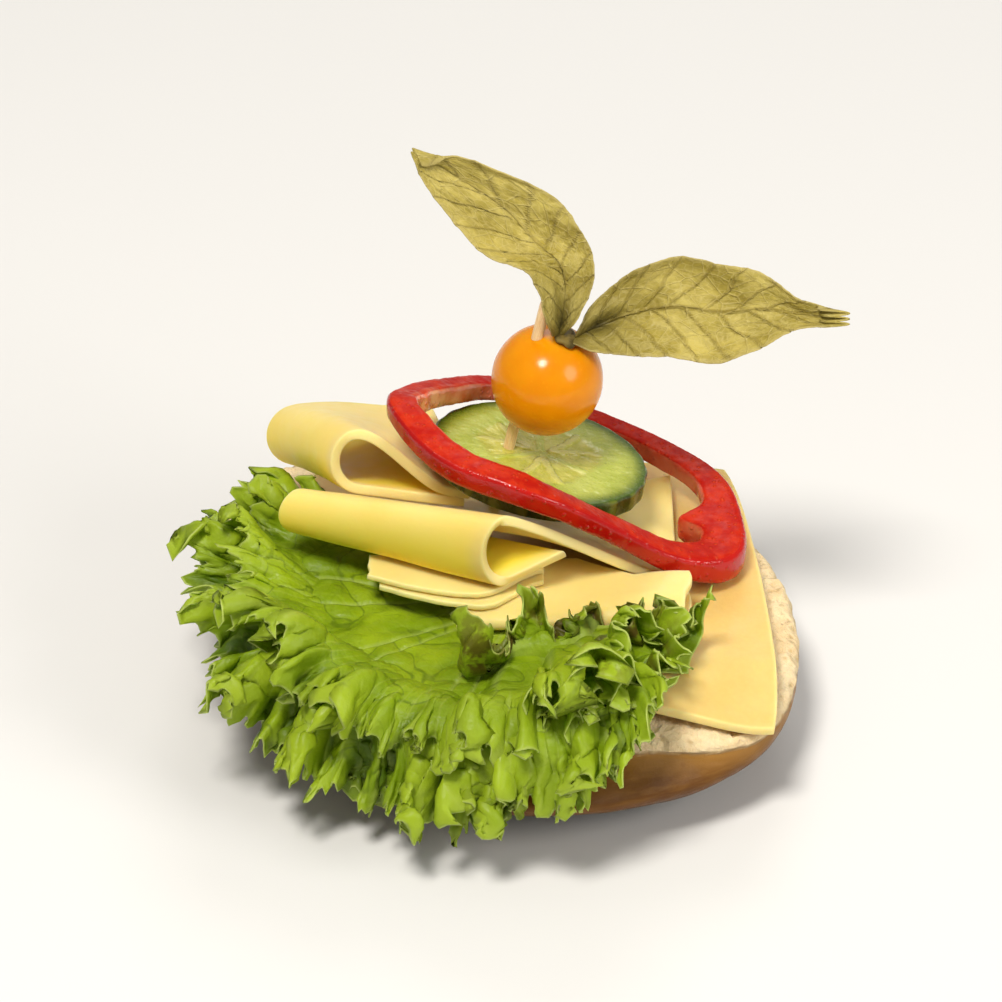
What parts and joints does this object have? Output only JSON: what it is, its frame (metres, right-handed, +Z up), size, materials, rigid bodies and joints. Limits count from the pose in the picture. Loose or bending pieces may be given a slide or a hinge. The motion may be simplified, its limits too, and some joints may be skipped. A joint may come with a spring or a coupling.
{
  "type": "open sandwich",
  "caption": "Open sandwich on half an oval roll: lettuce, folded cheese slices, a pepper ring, a cucumber slice and a winter cherry with husk leaves on a wooden pick.",
  "frame": {"origin": "centre of the flat underside of the roll", "axes": "+Z up from the surface it stands on; the pictured front of the sandwich faces -Y; +X to the right seen from the front"},
  "size_m": [0.1191, 0.1101, 0.1018],
  "materials": {
    "bread_roll": "satin golden-brown crust, matt cream crumb",
    "lettuce_left": "satin, slightly waxy leaf",
    "lettuce_right": "satin, slightly waxy leaf",
    "cheese_base": "smooth satin cheese",
    "cheese_back": "smooth satin cheese",
    "cheese_mid": "smooth satin cheese",
    "cheese_front": "smooth satin cheese",
    "cheese_slip_top": "smooth satin cheese",
    "cheese_slip_low": "smooth satin cheese",
    "pepper_ring": "glossy skin, moist cut faces",
    "cucumber_slice": "moist cut face, dark green skin",
    "winter_cherry": "glossy orange skin",
    "calyx": "dry husk stub",
    "husk_left": "dry papery veined husk",
    "husk_right": "dry papery veined husk",
    "pick": "plain light wood"
  },
  "bodies": {
    "root": {"bread_roll": "bread_roll", "lettuce_left": "lettuce_left", "lettuce_right": "lettuce_right", "cheese_base": "cheese_base", "cheese_back": "cheese_back", "cheese_mid": "cheese_mid", "cheese_front": "cheese_front", "cheese_slip_top": "cheese_slip_top", "cheese_slip_low": "cheese_slip_low", "pepper_ring": "pepper_ring", "cucumber_slice": "cucumber_slice", "winter_cherry": "winter_cherry", "calyx": "calyx", "husk_left": "husk_left", "husk_right": "husk_right", "pick": "pick"}
  },
  "joints": []
}
